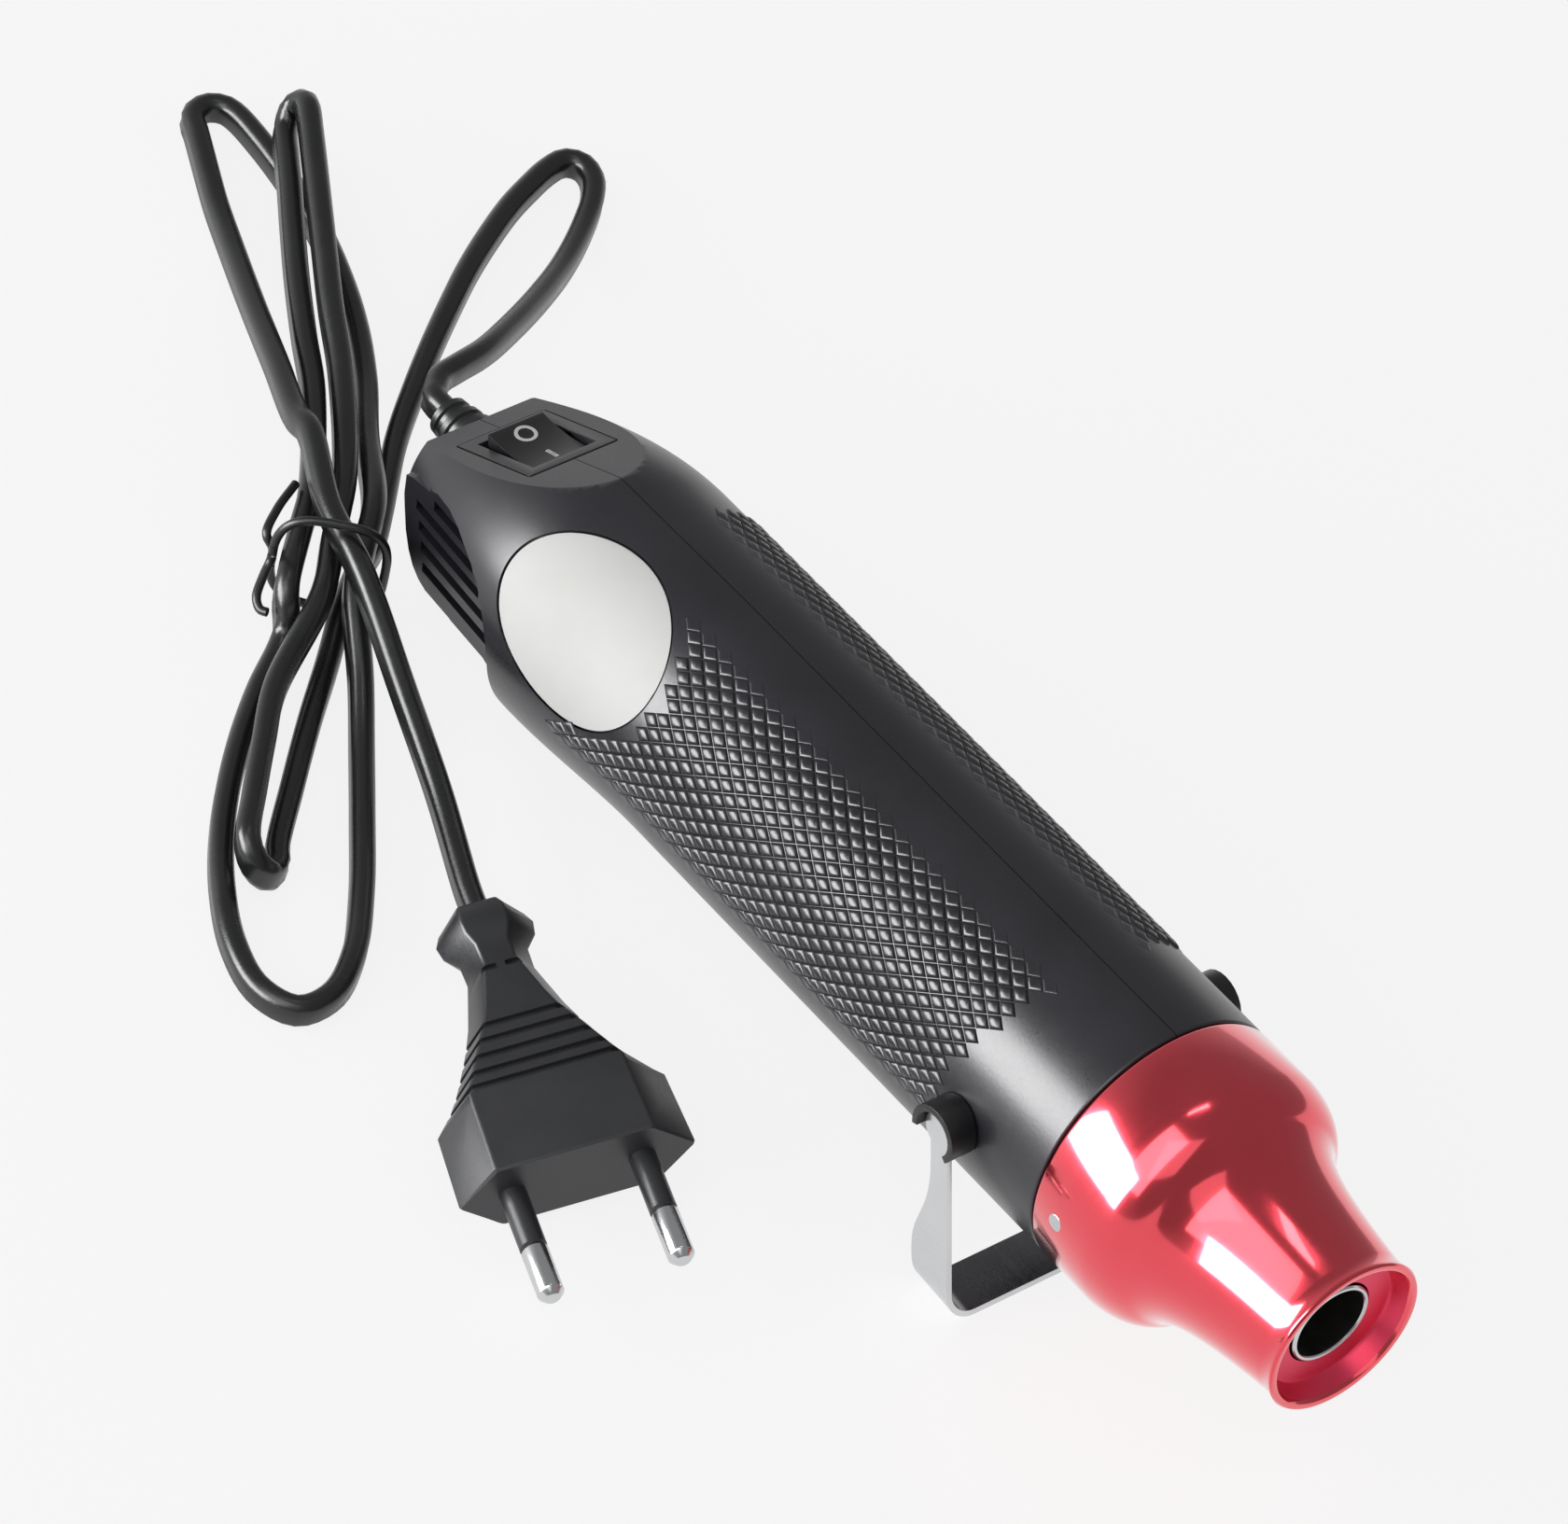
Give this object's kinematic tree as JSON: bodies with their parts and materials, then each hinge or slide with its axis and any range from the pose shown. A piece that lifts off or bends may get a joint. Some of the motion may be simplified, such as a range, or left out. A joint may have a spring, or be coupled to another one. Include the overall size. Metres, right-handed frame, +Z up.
{
  "type": "hot air tool",
  "caption": "Hand-held hot air tool for embossing and shrink film: round barrel with a fan and heater, flared nozzle, rocker switch, fold-out stand and a tied mains lead with plug.",
  "frame": {"origin": "centre of the tool's footprint on the table, the lead left out", "axes": "+X from the tail towards the nozzle, +Y towards the side away from the label, which is the left hand seen from the tail with the switch up, +Z up from the table"},
  "size_m": [0.2974, 0.1439, 0.0545],
  "materials": {
    "charcoal": "satin moulded plastic",
    "black": "satin black plastic",
    "rubber": "satin flexible PVC",
    "red_plating": "glossy red metallic",
    "steel": "bright steel",
    "polished_steel": "polished",
    "mica": "matt mica sheet",
    "nichrome": "dull resistance wire",
    "paper": "matt white film",
    "board": "green laminate",
    "brass": "bright",
    "nylon": "natural nylon",
    "brown_wire": "sleeved wire",
    "blue_wire": "sleeved wire"
  },
  "bodies": {
    "body": {"casing_left": "charcoal", "casing_right": "charcoal", "switch_frame": "black", "stand_socket_left": "black", "stand_socket_right": "black", "motor_end_cap": "black", "diode_1": "black", "diode_2": "black", "diode_3": "black", "diode_4": "black", "twist_tie": "black", "plug_body": "black", "strain_relief": "rubber", "cord_lead": "rubber", "cord_hank": "rubber", "cord_tail": "rubber", "nozzle_shroud": "red_plating", "casing_screw_1": "steel", "casing_screw_2": "steel", "nozzle_pin_left": "steel", "nozzle_pin_right": "steel", "heater_tube": "steel", "motor_can": "steel", "motor_screw_1": "steel", "motor_screw_2": "steel", "plug_pin_1": "steel", "plug_pin_2": "steel", "mica_sleeve": "mica", "heater_former": "mica", "heater_disc": "mica", "mica_ring": "mica", "heating_coil": "nichrome", "label_plate": "paper", "rectifier_board": "board", "motor_terminal_1": "brass", "motor_terminal_2": "brass", "switch_terminal_1": "brass", "switch_terminal_2": "brass", "motor_frame": "nylon", "thermal_cutout": "nylon", "lead_live": "brown_wire", "lead_switched": "brown_wire", "lead_neutral": "blue_wire"},
    "stand": {"stand_bracket": "polished_steel"},
    "rocker": {"switch_rocker": "black"},
    "rotor": {"motor_shaft": "steel", "fan_impeller": "black"}
  },
  "joints": [
    {"name": "stand_fold", "type": "hinge", "parent": "body", "child": "stand", "pos_m": [0.04194, 0, 0.031], "axis": [0, 1, 0], "range_deg": [0, 46]},
    {"name": "switch_rock", "type": "hinge", "parent": "body", "child": "rocker", "pos_m": [-0.08868, 0, 0.03443], "axis": [0, 1, 0], "range_deg": [-18, 0]},
    {"name": "motor_spin", "type": "hinge", "parent": "body", "child": "rotor", "pos_m": [-0.00494, 0, 0.02772], "axis": [0.9976, 0, 0.0698], "continuous": true}
  ]
}
